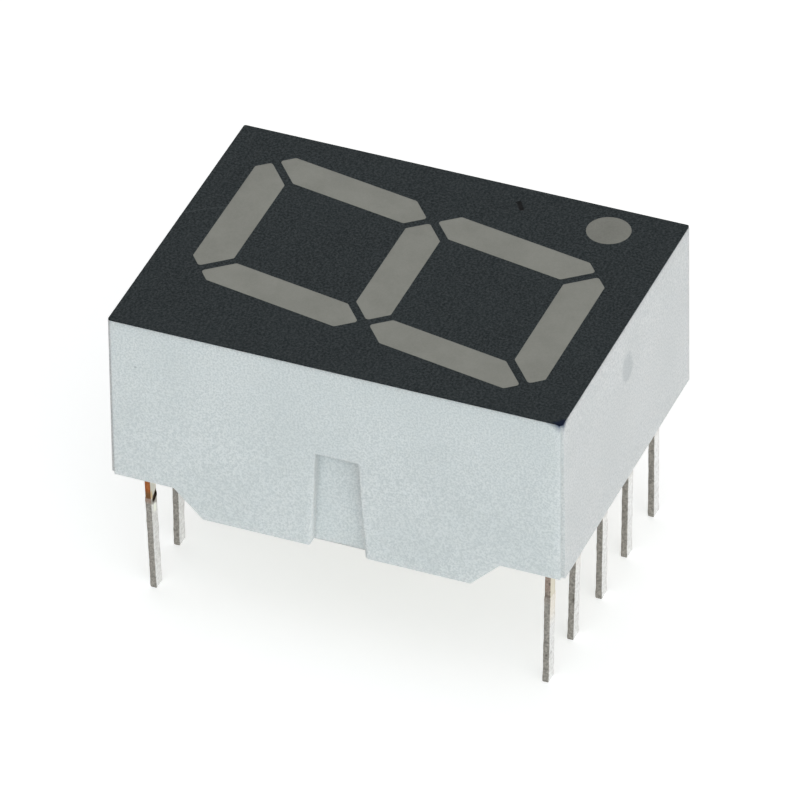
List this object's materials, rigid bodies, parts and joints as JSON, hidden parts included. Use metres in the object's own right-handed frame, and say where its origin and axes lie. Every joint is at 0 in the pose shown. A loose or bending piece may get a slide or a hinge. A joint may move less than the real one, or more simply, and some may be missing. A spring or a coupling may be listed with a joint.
{
  "type": "seven segment display",
  "caption": "Single-digit seven segment LED display with a right-hand decimal point, a grey printed face in a white reflector body, and two rows of straight through-hole leads.",
  "frame": {"origin": "middle of the plane of the leads' tips, under the middle of the body", "axes": "+Z out of the display's face, +Y towards the top of the digit, +X to the digit's right, on the decimal point's side"},
  "size_m": [0.0126, 0.0172, 0.0123],
  "materials": {
    "housing": "moulded white plastic, faintly grained",
    "face_coat": "matt dark grey printed ink",
    "back_seal": "cast epoxy, slightly sunk and glossy",
    "diffused_epoxy": "diffused epoxy, satin",
    "tinned_lead": "copper alloy strip, plated, solder-dipped up to near the body",
    "led_chip": "sawn semiconductor",
    "gold_wire": "drawn gold"
  },
  "bodies": {
    "root": {"housing": "housing", "face_coat": "face_coat", "back_seal": "back_seal", "common_lead": "tinned_lead", "segment_a": "diffused_epoxy", "segment_b": "diffused_epoxy", "segment_c": "diffused_epoxy", "segment_d": "diffused_epoxy", "segment_e": "diffused_epoxy", "segment_f": "diffused_epoxy", "segment_g": "diffused_epoxy", "decimal_point": "diffused_epoxy", "lead_a": "tinned_lead", "lead_b": "tinned_lead", "lead_c": "tinned_lead", "lead_d": "tinned_lead", "lead_e": "tinned_lead", "lead_f": "tinned_lead", "lead_g": "tinned_lead", "lead_dp": "tinned_lead", "chip_a": "led_chip", "chip_b": "led_chip", "chip_c": "led_chip", "chip_d": "led_chip", "chip_e": "led_chip", "chip_f": "led_chip", "chip_g": "led_chip", "chip_dp": "led_chip", "bond_wire_a": "gold_wire", "bond_wire_b": "gold_wire", "bond_wire_c": "gold_wire", "bond_wire_d": "gold_wire", "bond_wire_e": "gold_wire", "bond_wire_f": "gold_wire", "bond_wire_g": "gold_wire", "bond_wire_dp": "gold_wire"}
  },
  "joints": []
}
